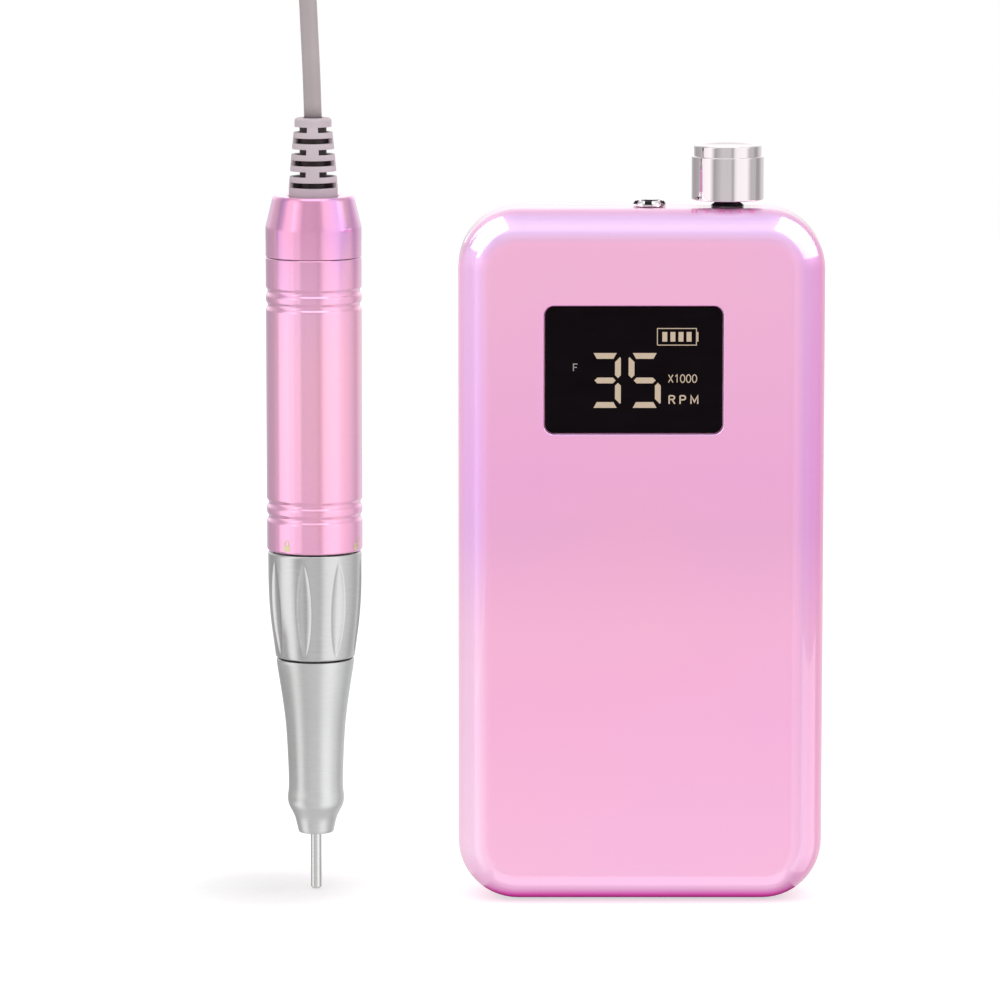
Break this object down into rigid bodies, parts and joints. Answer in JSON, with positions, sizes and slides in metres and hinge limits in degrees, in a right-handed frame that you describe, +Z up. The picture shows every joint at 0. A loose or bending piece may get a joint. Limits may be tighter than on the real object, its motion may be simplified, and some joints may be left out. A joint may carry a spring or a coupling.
{
  "type": "electric nail drill",
  "caption": "Pink pearl control box with display, speed knob and socket, beside a corded pen handpiece with a fluted twist ring, tapered nose and plain pin.",
  "frame": {"origin": "centre of the control box's flat base, where it stands", "axes": "+Z up along the box and the standing handpiece, -Y out of the display, +X to the display's right"},
  "size_m": [0.2424, 0.0358, 0.2396],
  "materials": {
    "pink_pearl": "gloss pink with a pearl and rainbow shift",
    "window_black": "gloss black",
    "display": "diffuse",
    "board_green": "solder mask",
    "chrome": "polished",
    "black_plastic": "matte",
    "steel": "machined",
    "satin_steel": "satin",
    "brass": "machined",
    "nickel": "plated strip",
    "cell_wrap": "shrink film",
    "white_plastic": "matte",
    "magnet": "dark",
    "copper": "enamelled wire",
    "carbon": "sintered",
    "felt": "felt",
    "cord_grey": "soft satin",
    "strap": "woven",
    "wire_red": "satin"
  },
  "bodies": {
    "control_box": {"front_shell": "pink_pearl", "back_cover": "pink_pearl", "cover_screw_1": "steel", "cover_screw_2": "steel", "cover_screw_3": "steel", "cover_screw_4": "steel", "display_window": "window_black", "display_module": "display", "main_board": "board_green", "protection_board": "board_green", "battery_cell_1": "cell_wrap", "battery_cell_2": "cell_wrap", "battery_cell_3": "cell_wrap", "cell_bracket_lower": "black_plastic", "cell_bracket_upper": "black_plastic", "nickel_strip_lower": "nickel", "nickel_strip_upper": "nickel", "battery_lead": "wire_red", "potentiometer_body": "steel", "potentiometer_nut": "black_plastic", "jack_body": "black_plastic", "jack_collar": "chrome", "direction_switch_body": "black_plastic", "charge_socket": "black_plastic", "cord_hank": "cord_grey", "hank_tie": "strap", "plug_body": "cord_grey", "plug_tip": "brass"},
    "knob": {"speed_knob": "chrome", "potentiometer_shaft": "steel"},
    "direction_switch": {"direction_slider": "white_plastic"},
    "handpiece": {"nose_cone": "satin_steel", "chuck_housing": "steel", "bearing_front": "steel", "bearing_rear": "steel", "dust_seal": "felt", "motor_can": "steel", "magnet_front": "magnet", "magnet_rear": "magnet", "motor_end_cap": "black_plastic", "brush_left": "carbon", "brush_right": "carbon", "motor_lead": "wire_red", "body_tube": "pink_pearl", "tail_cap": "pink_pearl", "strain_relief": "cord_grey", "cord_tube": "cord_grey"},
    "rotor": {"spindle": "steel", "drive_coupling": "white_plastic", "motor_shaft": "steel", "armature": "magnet", "windings": "copper", "collet_spring": "steel"},
    "collet": {"collet": "steel", "thrust_ring": "steel"},
    "pin": {"blank_pin": "steel"},
    "twist_ring": {"twist_ring": "chrome", "cam_ring": "brass"},
    "push_sleeve": {"push_sleeve": "brass"}
  },
  "joints": [
    {"name": "knob_turn", "type": "hinge", "parent": "control_box", "child": "knob", "pos_m": [0.01845, 0.0005, 0.155], "axis": [0, 0, 1], "range_deg": [0, 300]},
    {"name": "direction_slide", "type": "slide", "parent": "control_box", "child": "direction_switch", "axis": [0, 0, -1], "range_m": [0, 0.005]},
    {"name": "handpiece_lift", "type": "slide", "parent": "control_box", "child": "handpiece", "axis": [0, 0, 1], "range_m": [0, 0.06]},
    {"name": "spindle_spin", "type": "hinge", "parent": "handpiece", "child": "rotor", "pos_m": [-0.0704, 0.0053, 0.04], "axis": [0, 0, 1], "continuous": true},
    {"name": "collet_push", "type": "slide", "parent": "rotor", "child": "collet", "axis": [0, 0, -1], "range_m": [0, 0.00081]},
    {"name": "pin_pull", "type": "slide", "parent": "collet", "child": "pin", "axis": [0, 0, -1], "range_m": [0, 0.0267]},
    {"name": "twist_ring_turn", "type": "hinge", "parent": "handpiece", "child": "twist_ring", "pos_m": [-0.0704, 0.0053, 0.063], "axis": [0, 0, 1], "range_deg": [0, 90]},
    {"name": "push_sleeve_slide", "type": "slide", "parent": "handpiece", "child": "push_sleeve", "axis": [0, 0, -1], "range_m": [0, 0.00081]}
  ],
  "couplings": [
    {"joint": "collet_push", "follows": "twist_ring_turn", "m_per_rad": 0.0005093},
    {"joint": "push_sleeve_slide", "follows": "twist_ring_turn", "m_per_rad": 0.0005093}
  ]
}
